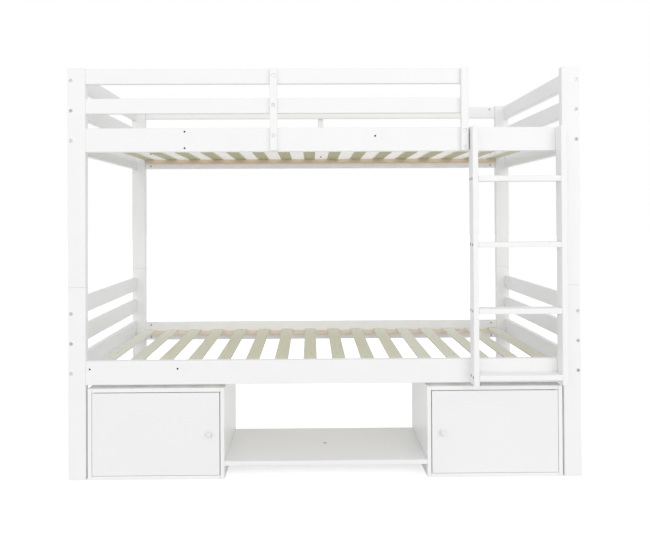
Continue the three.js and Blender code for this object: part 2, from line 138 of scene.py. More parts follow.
class Value:
    """One output of a node tree. Arithmetic on it adds Math nodes."""

    def __init__(self, tree, socket=None):
        self.tree = tree
        self.socket = socket

    def node(self, kind, settings=None, values=None, output=0):
        """Adds a node: its settings first, then its sockets, and returns one of its outputs."""
        made = self.tree.nodes.new("ShaderNode" + kind)
        for name, setting in (settings or {}).items():
            setattr(made, name, setting)
        for name, value in (values or {}).items():
            if isinstance(value, Value):
                self.tree.links.new(value.socket, made.inputs[name])
            else:
                made.inputs[name].default_value = value
        return Value(self.tree, made.outputs[output] if len(made.outputs) else None)

    def maths(self, operation, *others):
        return self.node("Math", {"operation": operation}, dict(enumerate((self, *others))))

    def __add__(self, other):
        return self.maths("ADD", other)

    def __sub__(self, other):
        return self.maths("SUBTRACT", other)

    def __rsub__(self, other):
        return self.node("Math", {"operation": "SUBTRACT"}, {0: other, 1: self})

    def __mul__(self, other):
        return self.maths("MULTIPLY", other)

    def __pow__(self, other):
        return self.maths("POWER", other)

    def __abs__(self):
        return self.maths("ABSOLUTE")

    __radd__ = __add__
    __rmul__ = __mul__

    def rise(self, low, high):
        """0 below low and 1 above high, with a smooth step between them."""
        settings = {"interpolation_type": "SMOOTHSTEP"}
        return self.node("MapRange", settings, {"Value": self, "From Min": low, "From Max": high})

    def mix(self, colour, other):
        """The first colour where this value is 0, and the other where it is 1."""
        colours = {0: self, MIX_A: colour, MIX_B: other}
        return self.node("Mix", {"data_type": "RGBA", "clamp_factor": True}, colours, MIX_RESULT)

    def scaled(self, x, y, z):
        """A vector stretched along its axes."""
        return self.node("VectorMath", {"operation": "MULTIPLY"}, {0: self, 1: (x, y, z)})

    def part(self, axis):
        """One coordinate of a vector."""
        return self.node("SeparateXYZ", None, {"Vector": self}, axis)

    def noise(self, turn, scale=1.0, detail=3.0, roughness=0.5):
        """Noise over a vector. The turn picks another pattern for each piece."""
        values = {"Vector": self, "W": turn, "Scale": scale, "Detail": detail, "Roughness": roughness}
        return self.node("TexNoise", {"noise_dimensions": "4D"}, values, "Fac")


def emptied(owner):
    """The start of a new node tree, for a material or a world."""
    owner.use_nodes = True
    owner.node_tree.nodes.clear()
    return Value(owner.node_tree)


def finish(name, pattern, relief, **constants):
    """A material from one Principled shader. The pattern gives what varies over the surface: its
    colour, its roughness, and a height from 0 to 1, which stands for the relief in metres."""
    made = bpy.data.materials.new(name)
    start = emptied(made)
    colour, roughness, height = pattern(start)
    bump = start.node("Bump", None, {"Height": height, "Distance": relief, "Strength": 1.0}, "Normal")
    values = {**constants, "Base Color": colour, "Roughness": roughness, "Normal": bump}
    shader = start.node("BsdfPrincipled", None, values, "BSDF")
    start.node("OutputMaterial", None, {"Surface": shader})
    print(name, "has", len(made.node_tree.nodes), "nodes")
    return made


def own_place(start):
    """Where a point lies in its own piece, whose length runs along X."""
    return start.node("TexCoord", None, None, "Object")


def own_chance(start):
    """A number from 0 to 1 that is steady over a piece and differs from the next piece's."""
    return start.node("ObjectInfo", None, None, "Random")


def own_turn(start):
    """The same number, spread out, so that each piece gets a pattern of its own."""
    return own_chance(start) * PATTERN_SPREAD


def carried(start, name):
    """A number that a piece's points carry, such as "edge": 1 on rounded edges."""
    return start.node("Attribute", {"attribute_name": name}, None, "Fac")


# %% [markdown]
# ## White lacquer on solid wood
# The frame is planed wood under several coats of white. The lacquer is opaque, so the colour hardly
# changes, but it sinks a little over the growth rings: that relief runs along each board. On
# the rounded edges the coat is thinner, so they look a trace warmer and duller. One could paint
# that by hand. A noise that is stretched along the board's length, and a mask that the mesh
# carries for its edges, give it to every board at once.

# %% White lacquer
LACQUER = (0.940, 0.942, 0.945, 1)
LACQUER_EDGE = (0.905, 0.905, 0.903, 1)
LACQUER_CLOUD = (0.928, 0.930, 0.934, 1)
PAINT_IOR = 1.5


def lacquer_pattern(start):
    place, turn, edge = own_place(start), own_turn(start), carried(start, "edge")
    rings = place.scaled(5, 170, 170).noise(turn, detail=4, roughness=0.6)
    pores = place.scaled(40, 1400, 1400).noise(turn, detail=2)
    clouds = place.noise(turn, scale=7, detail=2)
    peel = place.noise(turn, scale=420, detail=1)
    colour = clouds.rise(0.35, 0.75).mix(LACQUER, LACQUER_CLOUD)
    colour = (edge * (0.35 + 0.65 * rings)).mix(colour, LACQUER_EDGE)
    roughness = 0.36 + 0.1 * clouds + 0.08 * pores + 0.12 * edge
    return colour, roughness, 0.62 * rings + 0.23 * pores + 0.15 * peel


white_lacquer = finish("white lacquer", lacquer_pattern, relief=0.00022, IOR=PAINT_IOR)

# %% [markdown]
# ## Painted panels
# The cabinets and the shelf are board, not solid wood: no grain comes through. What shows from
# near is the fine orange peel that a spray gun leaves, and another gloss where a roller has filled
# the cut edges. The same sum as above, without the rings, gives that. The doors come from another
# batch, a trace greyer than the panels round them.

# %% Panel paint
PANEL_RELIEF = 0.00012
PANEL = (0.945, 0.947, 0.950, 1)
PANEL_CLOUD = (0.933, 0.935, 0.939, 1)
DOOR = (0.918, 0.920, 0.923, 1)
DOOR_CLOUD = (0.906, 0.908, 0.912, 1)
FILLED_EDGE = (0.890, 0.891, 0.892, 1)


def panel_pattern(paint, cloud):
    def pattern(start):
        place, turn, edge = own_place(start), own_turn(start), carried(start, "edge")
        clouds = place.noise(turn, scale=4, detail=2)
        peel = place.noise(turn, scale=330, detail=2)
        dust = place.noise(turn, scale=2600, detail=1)
        colour = (0.8 * edge).mix(clouds.rise(0.35, 0.75).mix(paint, cloud), FILLED_EDGE)
        return colour, 0.33 + 0.08 * clouds + 0.12 * edge, 0.75 * peel + 0.25 * dust
    return pattern


panel_paint = finish("panel paint", panel_pattern(PANEL, PANEL_CLOUD), PANEL_RELIEF, IOR=PAINT_IOR)
door_paint = finish("door paint", panel_pattern(DOOR, DOOR_CLOUD), PANEL_RELIEF, IOR=PAINT_IOR)

# %% [markdown]
# ## Lacquered knobs
# The knobs are turned, and their lacquer is a trace greyer than the panels'. Turning leaves faint
# rings about the axis, so the noise is stretched across it instead of along it.

# %% Knob lacquer
KNOB = (0.862, 0.864, 0.866, 1)
KNOB_SHADE = (0.840, 0.841, 0.842, 1)


def knob_pattern(start):
    place, turn = own_place(start), own_turn(start)
    rings = place.scaled(20, 20, 1800).noise(turn, detail=2)
    clouds = place.noise(turn, scale=60, detail=2)
    return clouds.rise(0.3, 0.8).mix(KNOB, KNOB_SHADE), 0.34 + 0.10 * clouds, rings


knob_lacquer = finish("knob lacquer", knob_pattern, relief=0.00004, IOR=PAINT_IOR)

# %% [markdown]
# ## Bare timber
# The slats and cleats are planed softwood without any finish, and the only colour on the bed. Each
# was sawn from another place in the log, so its growth rings are slices of circles about a
# pith that lies outside it. The shader does the same: the distance from a far axis, bent by noise,
# runs through a sine. A few knots drop in from a Voronoi pattern. Light is painted in too: the
# ends are paler, as painted bounce light from the white rails, and the rounded edges darker, as
# painted shade. Each board carries two numbers. Its "tone" says how pale it is as a whole, and
# the other says whether its underside gets painted shade, darker and yellower.

# %% Timber
RING_WIDTH = 0.0042
RING_WAVE = 0.022
PITH_DEPTH = 0.045
PITH_DEPTH_SPREAD = 0.04
PITH_SIDE_SPREAD = 0.09
KNOT_LENGTH = 0.055
KNOT_WIDTH = 0.013
KNOT_SHARE = 0.86
KNOT_BROWN = (0.27, 0.15, 0.08, 1)
END_GRAIN = (0.46, 0.36, 0.22, 1)
# How painted shade darkens and yellows the downward faces of the upper slats.
UNDERSIDE_SHADE_TINT = (0.70, 0.69, 0.53)
TIMBER_RELIEF, TIMBER_IOR = 0.00025, 1.3


def timber_pattern(early, late, tint, palest_colour, half_length):
    """A pattern for one kind of timber: early and late wood, a patchy tint, and its palest tone."""
    def pattern(start):
        place, turn, chance = own_place(start), own_turn(start), own_chance(start)
        edge, tone, unplaned = (carried(start, name) for name in ("edge", "tone", "unplaned"))
        bend = place.scaled(1.6, 7, 7).noise(turn, detail=2)
        patch = place.scaled(3.2, 14, 14).noise(turn + 7.0, detail=2).rise(0.38, 0.66)
        across = place.part("Y") + PITH_SIDE_SPREAD * chance - PITH_SIDE_SPREAD / 2
        down = place.part("Z") + PITH_DEPTH + PITH_DEPTH_SPREAD * chance
        phase = ((across ** 2 + down ** 2) ** 0.5 + RING_WAVE * bend) * (2 * pi / RING_WIDTH)
        rings = (0.5 + 0.5 * phase.maths("SINE")) ** 2
        fibre = place.scaled(30, 1500, 1500).noise(turn, detail=3, roughness=0.65)

        stretch = place.scaled(0.25 / KNOT_LENGTH, 0.25 / KNOT_WIDTH, 0.25 / KNOT_WIDTH)
        cells = {"voronoi_dimensions": "4D"}, {"Vector": stretch, "W": turn}
        near = start.node("TexVoronoi", *cells, "Distance")
        lot = start.node("TexVoronoi", *cells, "Color")
        chosen = start.node("SeparateColor", None, {"Color": lot}, "Red").rise(KNOT_SHARE, KNOT_SHARE + 0.01)
        knot = (1 - near.rise(0.1, 0.25)) * chosen
        halo = (1 - near.rise(0.2, 0.5)) * chosen

        normal = start.node("TexCoord", None, None, "Normal")
        sawn = abs(normal.part("X")).rise(0.7, 0.9)
        # Painted shade on the downward faces of the boards marked for it.
        shaded_underside = unplaned * (0 - normal.part("Z")).rise(0.5, 0.9)
        # Painted bounce light: the timber turns paler towards both ends of a board, beside the white rails.
        near_end = abs(place.part("X")).rise(0.4 * half_length, half_length)

        colour = (0.75 * rings * (0.4 + 0.6 * bend)).mix(early, late)
        colour = (0.3 * chance).mix(colour, late)
        colour = (0.6 * patch).mix(colour, tint)
        # The board's tone and the painted bounce light at its ends both lead towards the palest colour.
        colour = (0.95 * tone + 0.28 * near_end * (1 - shaded_underside)).mix(colour, palest_colour)
        # Painted shade on those downward faces: darker and yellower, more so towards the ends.
        colour = (shaded_underside * (0.75 + 0.35 * near_end)).mix(colour, colour.scaled(*UNDERSIDE_SHADE_TINT))
        # Fibre streaks, and painted shade on the rounded edges.
        colour = (0.16 * fibre + 0.3 * edge).mix(colour, late)
        colour = (0.5 * halo).mix(colour, late)
        colour = (0.75 * knot).mix(colour, KNOT_BROWN)
        colour = (0.45 * sawn).mix(colour, END_GRAIN)
        return colour, 0.62 + 0.14 * fibre - 0.1 * knot, 0.5 * rings + 0.5 * fibre
    return pattern


slat_wood = timber_pattern(
    early=(0.780, 0.765, 0.590, 1), late=(0.645, 0.590, 0.400, 1), tint=(0.715, 0.735, 0.585, 1),
    palest_colour=(0.930, 0.935, 0.845, 1), half_length=0.459)
cleat_wood = timber_pattern(
    early=(0.760, 0.640, 0.490, 1), late=(0.610, 0.440, 0.280, 1), tint=(0.750, 0.610, 0.460, 1),
    palest_colour=(0.900, 0.800, 0.680, 1), half_length=1.2)
slat_timber = finish("slat timber", slat_wood, TIMBER_RELIEF, IOR=TIMBER_IOR)
cleat_timber = finish("cleat timber", cleat_wood, TIMBER_RELIEF, IOR=TIMBER_IOR)

# %% [markdown]
# ## Steel
# Bolts, barrel nuts and screws are zinc-plated steel. Plating is mottled rather than mirror-like, so
# noise moves its colour and its roughness a little, over a metallic shader. Heads of one box differ
# too: some are bright and some dull, and the same "tone" number tells the shader which. The dull end
# is partly the plating's own tone and partly painted shade, for heads deep in their holes. The
# screws of the rungs and the threaded inserts are blackened; on the rungs the near-black heads are
# painted shade, the shade of their counterbores, and read as dark dots.

# %% Zinc plating
ZINC = (0.76, 0.765, 0.775, 1)
ZINC_DULL_AND_SHADED = (0.25, 0.255, 0.265, 1)


def zinc_pattern(start):
    place, tone = own_place(start), carried(start, "tone")
    spangle = place.noise(0.0, scale=700, detail=2)
    scratches = place.scaled(900, 6000, 900).noise(0.0, detail=1)
    # Dull heads: partly duller plating, partly painted shade of their holes.
    colour = (0.75 * tone + 0.25 * spangle.rise(0.3, 0.75)).mix(ZINC, ZINC_DULL_AND_SHADED)
    return colour, 0.24 + 0.2 * spangle + 0.06 * scratches, 0.6 * spangle + 0.4 * scratches


zinc_plating = finish("zinc plating", zinc_pattern, relief=0.00001, Metallic=1.0)

# Near-black steel. On the rung screws this colour stands for painted shade in their counterbores.
BLACKENED_AND_SHADE = (0.050, 0.047, 0.045, 1)
BLACKENED_WORN_AND_SHADE = (0.090, 0.085, 0.080, 1)


def blackened_and_shade_pattern(start):
    oil = own_place(start).noise(0.0, scale=500, detail=2)
    return oil.rise(0.35, 0.8).mix(BLACKENED_AND_SHADE, BLACKENED_WORN_AND_SHADE), 0.52 + 0.16 * oil, oil


blackened_steel_and_shade = finish("blackened steel", blackened_and_shade_pattern, relief=0.00001, Metallic=0.2, IOR=1.4)

# %% [markdown]
# ## Moulded plastic
# The magnetic catches have small housings in white plastic, duller than the paint around them.

# %% Plastic
PLASTIC = (0.80, 0.80, 0.78, 1)
PLASTIC_CLOUD = (0.76, 0.76, 0.74, 1)


def plastic_pattern(start):
    place = own_place(start)
    spark = place.noise(0.0, scale=2400, detail=1)
    flow = place.noise(0.0, scale=90, detail=2)
    return flow.rise(0.3, 0.8).mix(PLASTIC, PLASTIC_CLOUD), 0.42 + 0.1 * spark, spark


catch_plastic = finish("catch plastic", plastic_pattern, relief=0.00003, IOR=1.46)

# %% [markdown]
# ## Meshes for boards and turned parts
# A scaled cube has razor edges that no planed board has, and light finds that out at once. A Bevel
# modifier would round them, but it treats all edges alike. A board is therefore lofted: its
# rounded section runs along its length, and a few smaller copies of the section round the ends.
# Each point also gets a number that says how far up an edge it lies, which the paints read.

# %% Board mesh
CORNER_STEPS = 5
END_STEPS = 3


def finished_mesh(name, mesh):
    """Keeps what mesh code has made, and frees its working copy."""
    data = bpy.data.meshes.new(name)
    mesh.to_mesh(data)
    mesh.free()
    return data


def quarter_turn(steps):
    return [pi / 2 * step / steps for step in range(steps + 1)]


def section(width, height, radius):
    """Points round a section with rounded corners, each with its share of the edge mask, which shows as a
    thinner coat on the lacquer, a filled edge on the panels, and painted shade on the timber.
    """
    points = []
    for corner, (y, z) in enumerate(((1, 1), (-1, 1), (-1, -1), (1, -1))):
        for step in range(CORNER_STEPS + 1):
            angle = (corner + step / CORNER_STEPS) * pi / 2
            across = y * (width / 2 - radius) + radius * cos(angle)
            up = z * (height / 2 - radius) + radius * sin(angle)
            points.append((across, up, sin(pi * step / CORNER_STEPS)))
    return points


def board_mesh(name, length, width, height, radius, ease):
    """A board about its own middle, its length along X, its ends eased by a quarter round."""
    mesh = bmesh.new()
    edge_wear_and_shade_layer = mesh.verts.layers.float.new("edge")
    rings = []
    stations = quarter_turn(END_STEPS)
    for side, angles in ((-1, stations), (1, stations[::-1])):
        for angle in angles:
            inset = ease * (1 - sin(angle))
            x = side * (length / 2 - ease * (1 - cos(angle)))
            rings.append([])
            for y, z, edge_wear_and_shade in section(width - 2 * inset, height - 2 * inset, max(radius - inset, radius / 4)):
                point = mesh.verts.new((x, y, z))
                point[edge_wear_and_shade_layer] = max(edge_wear_and_shade, sin(2 * angle))
                rings[-1].append(point)
    for ring, following in zip(rings, rings[1:]):
        for index in range(len(ring)):
            mesh.faces.new((ring[index - 1], ring[index], following[index], following[index - 1]))
    mesh.faces.new(rings[0])
    mesh.faces.new(rings[-1][::-1])
    bmesh.ops.recalc_face_normals(mesh, faces=mesh.faces)
    return finished_mesh(name, mesh)


# %% Turned mesh
TURNED_STEPS = 32


def turned_mesh(name, profile, steps=TURNED_STEPS):
    """Revolves (radius, height) points about Z. The profile starts and ends on the axis."""
    mesh = bmesh.new()
    circle = [2 * pi * step / steps for step in range(steps)]
    rings = [
        [mesh.verts.new((radius * cos(a), radius * sin(a), height)) for a in (circle if radius else [0])]
        for radius, height in profile
    ]
    for lower, upper in zip(rings, rings[1:]):
        for index in range(steps):
            corners = [lower[at % len(lower)] for at in (index - 1, index)]
            corners += [upper[at % len(upper)] for at in (index, index - 1)]
            mesh.faces.new(list(dict.fromkeys(corners)))
    bmesh.ops.recalc_face_normals(mesh, faces=mesh.faces)
    return finished_mesh(name, mesh)


def pointing(place, direction):
    """The matrix that stands a turned mesh at a place, with its +Z along a direction."""
    turn = Vector((0, 0, 1)).rotation_difference(Vector(direction)).to_matrix().to_4x4()
    return Matrix.Translation(place) @ turn


def joined_mesh(name, placed):
    """One mesh from (mesh, matrix) pairs."""
    whole = bmesh.new()
    for mesh, matrix in placed:
        copy = mesh.copy()
        copy.transform(matrix)
        whole.from_mesh(copy)
        bpy.data.meshes.remove(copy)
    return finished_mesh(name, whole)


# %% [markdown]
# ## Holes
# A drilled hole is a Boolean: a tool is subtracted from the board. The tool is turned too, with a
# flare at its mouth, because lacquer never leaves a sharp rim. The flare goes on past the face as a
# cone, so that no point of the tool lies on the face itself, where a Boolean would leave slivers.
# All the tools of a board are joined first, so that it needs only one Boolean. After it, normals
# are weighted by face area, which keeps the flat faces flat beside the rounded ones.

# %% Drilling
HOLE_STEPS = 24
RIM = 0.0005
CLEAR = 0.004
WELD = 0.000002
SMOOTH_BELOW = radians(32)


def drill(place, inward, radius, depth):
    """(place, direction, profile) of a hole that starts on a face."""
    profile = [(0, -CLEAR), (radius + RIM + CLEAR, -CLEAR), (radius, RIM), (radius, depth), (0, depth)]
    return place, inward, profile


def link(name, data, matrix=None):
    piece = bpy.data.objects.new(name, data)
    bpy.context.scene.collection.objects.link(piece)
    piece.matrix_world = matrix or Matrix.Identity(4)
    return piece


def applied(piece):
    """Replaces a piece's mesh by the result of its modifiers."""
    bpy.context.view_layer.update()
    evaluated = piece.evaluated_get(bpy.context.evaluated_depsgraph_get())
    mesh = bpy.data.meshes.new_from_object(evaluated)
    piece.modifiers.clear()
    piece.data = mesh
    mesh.name = piece.name
    return piece


def welded(piece):
    """Merges the points that a Boolean leaves on top of each other."""
    mesh = bmesh.new()
    mesh.from_mesh(piece.data)
    bmesh.ops.remove_doubles(mesh, verts=mesh.verts, dist=WELD)
    bmesh.ops.dissolve_degenerate(mesh, dist=WELD, edges=mesh.edges)
    mesh.to_mesh(piece.data)
    mesh.free()


def smoothed(piece):
    """Smooth rounds and flat flats: sharp edges stay sharp, and wide faces set the normals."""
    piece.data.shade_smooth()
    piece.data.set_sharp_from_angle(angle=SMOOTH_BELOW)
    weighted = piece.modifiers.new("weighted", "WEIGHTED_NORMAL")
    weighted.keep_sharp = True
    return applied(piece)


def subtract(piece, placed):
    """Takes tools, given as (mesh, matrix) pairs, out of a piece."""
    tool = link("tool", joined_mesh("tool", placed))
    boolean = piece.modifiers.new("holes", "BOOLEAN")
    boolean.operation = "DIFFERENCE"
    boolean.solver = "EXACT"
    boolean.object = tool
    welded(applied(piece))
    bpy.data.objects.remove(tool)


def painted(name, mesh, paint, matrix=None, holes=()):
    """A smooth piece with one finish, and with drilled holes."""
    mesh.materials.append(paint)
    piece = link(name, mesh, matrix)
    if holes:
        subtract(piece, [
            (turned_mesh("tool", profile, HOLE_STEPS), pointing(place, inward))
            for place, inward, profile in holes
        ])
    return smoothed(piece)


# %% [markdown]
# ## From node to piece
# Every board has a plain solid in the frame.

# %% Boards from boxes
LENGTHWISE = {
    "x": Matrix.Identity(4),
    "y": Matrix.Rotation(pi / 2, 4, "Z"),
    "z": Matrix.Rotation(-pi / 2, 4, "Y"),
}
AXES_ALONG = {"x": "xyz", "y": "yxz", "z": "zyx"}


def centre(node):
    low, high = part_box(node)
    return (low + high) / 2


def limit(node, axis, side):
    """Where a node ends along an axis, on its low side (-1) or its high side (1)."""
    return getattr(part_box(node)[1 if side > 0 else 0], axis)


def board_in(name, box, along, paint, radius, ease, holes=()):
    """A board that fills a box from its lowest to its highest corner."""
    low, high = box
    length, width, height = (getattr(high - low, axis) for axis in AXES_ALONG[along])
    mesh = board_mesh(name, length, width, height, radius, ease)
    return painted(name, mesh, paint, Matrix.Translation((low + high) / 2) @ LENGTHWISE[along], holes)


def stand_for(piece, node):
    """Makes a piece ride with its node's body, and hides the node."""
    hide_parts(node)
    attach(piece, frame["nodes"][node]["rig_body"])


EDGE_RADIUS = 0.003
EASED_END = 0.0015
BUTTED_END = 0.0004
PANEL_RADIUS = 0.001


def board(node, along, ease=EASED_END, holes=(), box=None):
    name, box = node + "_board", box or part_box(node)
    stand_for(board_in(name, box, along, white_lacquer, EDGE_RADIUS, ease, holes), node)


def panel(node, along, holes=(), radius=PANEL_RADIUS, ease=PANEL_RADIUS, paint=panel_paint):
    stand_for(board_in(node + "_panel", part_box(node), along, paint, radius, ease, holes), node)


def fitting(name, mesh, paint, body, matrix=None):
    """A steel part that no node stands for, on a body of the frame."""
    piece = painted(name, mesh, paint, matrix)
    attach(piece, body)


# %% [markdown]
# ## Bolts and their places
# Long bolts run through the posts into the ends of the rails, where barrel nuts take them. Their
# places follow from the rails: a bolt lies on the middle of a rail's thickness, at a set height
# on its end. The frame gives the rails, so both the holes and the bolts come from one sum.

# %% Bolt places
ENDS = {"left": -1, "right": 1}
FACES = {"front": -1, "rear": 1}
OUT = {end: Vector((side, 0, 0)) for end, side in ENDS.items()}
OUT.update({face: Vector((0, side, 0)) for face, side in FACES.items()})
UP, DOWN = Vector((0, 0, 1)), Vector((0, 0, -1))
BERTHS = ("lower", "upper")
LOW_RAIL_BOLT_RISE = 0.048
TOP_RAIL_BOLT_RISE = {"lower": 0.0145, "upper": 0.023}
SIDE_BOLT_MARGIN = 0.015
GUARD_BOLT_DROP = 0.014
GUARD_FOOT_BOLT_RISE = 0.0625
NUT_FROM_POST = 0.030
HEAD_RADIUS, HEAD_DEPTH = 0.007, 0.004
NUT_RADIUS, NUT_DEPTH = 0.005, 0.018
PLAIN_RADIUS = 0.004


def end_bolt_heights(end, berth):
    low = limit(f"{end}_{berth}_end_bottom_rail", "z", -1) + LOW_RAIL_BOLT_RISE
    top = limit(f"{end}_{berth}_end_top_rail", "z", -1) + TOP_RAIL_BOLT_RISE[berth]
    return [low, (low + top) / 2, top]


def side_bolt_heights(berth):
    low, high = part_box(f"front_{berth}_side_rail")
    return [low.z + SIDE_BOLT_MARGIN, high.z - SIDE_BOLT_MARGIN]


def guard_bolt_heights():
    return [limit(f"front_{level}_guard_rail", "z", 1) - GUARD_BOLT_DROP for level in ("top", "lower")]


def nut_distance(side, face, berth):
    """How far along the bed a nut lies in a side or guard rail, towards one end."""
    return side * (limit(f"{face}_right_{berth}_post", "x", -1) - NUT_FROM_POST)


def drills(places, radius, depth):
    """Holes into a board from (place, outward direction) pairs."""
    return [drill(place, -out, radius, depth) for place, out in places]


head_places, nut_places, insert_places = [], [], []
print("side rail bolts at", [round(z, 4) for berth in BERTHS for z in side_bolt_heights(berth)])

# %% [markdown]
# ## Corner posts
# Each corner is two posts, one on the other. Eased ends leave the fine line that shows at half
# height. Two wooden pins, glued into the lower post, stand in slightly wider holes of the upper
# one, so the upper bed lifts off. Counterbores for the end rails' bolts lie on the front and rear
# faces, in the middle of the rails' thickness, and those for the side rails on the other two.

# %% Corner posts
JOINT_GAP = 0.0003
PIN_RADIUS, PIN_REACH, PIN_SPACING = 0.005, 0.040, 0.036
PIN_CLEARANCE = 0.0004
PIN_CHAMFER = 0.0012
PIN_STEPS = 20


def mirrored(upper):
    """A whole profile from its upper half."""
    return [(radius, -height) for radius, height in reversed(upper)] + upper


dowel = mirrored([
    (PIN_RADIUS, PIN_REACH - PIN_CHAMFER), (PIN_RADIUS - PIN_CHAMFER, PIN_REACH), (0, PIN_REACH)])
for end in ENDS:
    for face in FACES:
        upper = f"{face}_{end}_upper_post"
        middle, joint = centre(upper), limit(upper, "z", -1) - JOINT_GAP
        pins = [Vector((middle.x + side * PIN_SPACING / 2, middle.y, joint)) for side in (-1, 1)]
        for berth in BERTHS:
            node = f"{face}_{end}_{berth}_post"
            low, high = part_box(node)
            if berth == "lower":
                high.z = joint
            outer_x, outer_y = limit(node, "x", ENDS[end]), limit(node, "y", FACES[face])
            rail_x = centre(f"{end}_{berth}_end_top_rail").x
            rail_y = centre(f"{face}_{berth}_side_rail").y
            heights = side_bolt_heights(berth)
            if berth == "upper" and (face == "rear" or end == "left"):
                heights += guard_bolt_heights()
            places = [(Vector((rail_x, outer_y, z)), OUT[face]) for z in end_bolt_heights(end, berth)]
            places += [(Vector((outer_x, rail_y, z)), OUT[end]) for z in heights]
            head_places += places
            into, lift = (UP, UP * JOINT_GAP) if berth == "upper" else (DOWN, DOWN * 0)
            mouths = [(pin + lift, -into) for pin in pins]
            holes = drills(places, HEAD_RADIUS, HEAD_DEPTH)
            holes += drills(mouths, PIN_RADIUS + PIN_CLEARANCE, PIN_REACH + PIN_CLEARANCE)
            board(node, "z", holes=holes, box=(low, high))
        pin_mesh = turned_mesh("pin", dowel, PIN_STEPS)
        mesh = joined_mesh("pins", [(pin_mesh, Matrix.Translation(pin)) for pin in pins])
        piece = painted(f"{face}_{end}_joint_pins", mesh, cleat_timber)
        stand_for(piece, f"{face}_{end}_lower_post")
print(len(head_places), "bolts in the posts")

# %% [markdown]
# ## End rails and side rails
# The rails butt square against the posts. Near each end a cross hole holds the barrel nut, open to
# the inside of the bed. The front side rails have more holes: the ladder and its guard post can
# be fitted at either end, and the unused end keeps its threaded inserts.

# %% End rails
for berth in BERTHS:
    for end in ENDS:
        for level, z in zip(("bottom", "middle", "top"), end_bolt_heights(end, berth)):
            node = f"{end}_{berth}_end_{level}_rail"
            inner_x = limit(node, "x", -ENDS[end])
            front_y = limit(f"front_{end}_{berth}_post", "y", 1) + NUT_FROM_POST
            rear_y = limit(f"rear_{end}_{berth}_post", "y", -1) - NUT_FROM_POST
            places = [(Vector((inner_x, y, z)), -OUT[end]) for y in (front_y, rear_y)]
            nut_places += places
            board(node, "y", BUTTED_END, drills(places, NUT_RADIUS, NUT_DEPTH))
print(len(nut_places), "barrel nuts in the end rails")

# %% Side rails
middle_post_x = centre("front_middle_guard_post").x
end_post_x = centre("front_end_guard_post").x
ladder_x = [centre(f"ladder_{end}_rail").x for end in ENDS]
LADDER_BOLT_RISE = 0.064
ladder_bolt_places = []


def spare_places(berth, face):
    """Holes through a side rail for ladder and guard bolts, in use and spare."""
    bottom = limit(f"{face}_{berth}_side_rail", "z", -1)
    if berth == "lower":
        height = bottom + LADDER_BOLT_RISE
        return [(side * x, height) for x in ladder_x for side in (-1, 1)] if face == "front" else []
    foot = bottom + GUARD_FOOT_BOLT_RISE
    if face == "rear":
        return [(centre("rear_guard_post").x, foot)]
    spare = [(side * end_post_x, z) for z in side_bolt_heights("upper") for side in (-1, 1)]
    return spare + [(side * middle_post_x, foot) for side in (-1, 1)]


for berth in BERTHS:
    for face in FACES:
        node = f"{face}_{berth}_side_rail"
        low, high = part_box(node)
        inner_y, outer_y = limit(node, "y", -FACES[face]), limit(node, "y", FACES[face])
        nuts = [
            (Vector((nut_distance(side, face, berth), inner_y, z)), -OUT[face])
            for side in ENDS.values() for z in side_bolt_heights(berth)
        ]
        nut_places += nuts
        plain = [(Vector((x, outer_y, z)), OUT[face]) for x, z in spare_places(berth, face)]
        in_use = [at for at, out in plain if berth == "lower" and at.x > 0]
        ladder_bolt_places += [(Vector((at.x, inner_y, at.z)), -OUT[face]) for at in in_use]
        insert_places += [place for place in plain if place[0].x < 0 or berth == "upper"]
        holes = drills(nuts, NUT_RADIUS, NUT_DEPTH)
        board(node, "x", BUTTED_END, holes + drills(plain, PLAIN_RADIUS, high.y - low.y + CLEAR))
print(len(nut_places), "barrel nuts,", len(insert_places), "inserts")

# %% [markdown]
# ## Guard rails and their posts
# The guard is lighter stuff. Its front rails stop at the ladder, on an upright that the side rail
# carries, so their ends are eased. The rear ones butt against a post at both ends.

# %% Guard rails
for level, z in zip(("top", "lower"), guard_bolt_heights()):
    for face in FACES:
        node = f"{face}_{level}_guard_rail"
        inner_y = limit(node, "y", -FACES[face])
        sides, ease = ((-1,), EASED_END) if face == "front" else ((-1, 1), BUTTED_END)
        places = [
            (Vector((nut_distance(side, face, "upper"), inner_y, z)), -OUT[face]) for side in sides]
        nut_places += places
        board(node, "x", ease, drills(places, NUT_RADIUS, NUT_DEPTH))

# %% Guard posts
guard_places = []
for node in ("front_middle_guard_post", "front_end_guard_post", "rear_guard_post"):
    face = node.split("_")[0]
    outer_y = limit(node, "y", FACES[face])
    if node == "front_end_guard_post":
        heights = side_bolt_heights("upper")
    else:
        rails = [centre(f"{face}_{level}_guard_rail").z for level in ("top", "lower")]
        heights = [*rails, limit("front_upper_side_rail", "z", -1) + GUARD_FOOT_BOLT_RISE]
    places = [(Vector((centre(node).x, outer_y, z)), OUT[face]) for z in heights]
    guard_places += places
    board(node, "z", holes=drills(places, HEAD_RADIUS, HEAD_DEPTH))
print(len(guard_places), "bolts in the guard posts")

# %% [markdown]
# ## Ladder
# Two rails stand on edge with four flat rungs between them. Two screws through each rail hold each
# rung end. Their thick heads nearly fill round counterbores, and their near-black is painted shade.

# %% Ladder
RUNG_SCREW_RADIUS, RUNG_SCREW_DEPTH = 0.0065, 0.004
RUNG_SCREW_SPACING = 0.033
rungs = [f"ladder_rung_{index}" for index in range(1, 5)]
rung_screw_places = []
for end in ENDS:
    node = f"ladder_{end}_rail"
    outer_x = limit(node, "x", ENDS[end])
    rows = [centre(node).y + side * RUNG_SCREW_SPACING / 2 for side in (-1, 1)]
    places = [(Vector((outer_x, y, centre(rung).z)), OUT[end]) for rung in rungs for y in rows]
    rung_screw_places += places
    board(node, "z", holes=drills(places, RUNG_SCREW_RADIUS, RUNG_SCREW_DEPTH))
for rung in rungs:
    board(rung, "x")
print(len(rung_screw_places), "screws in the rungs")

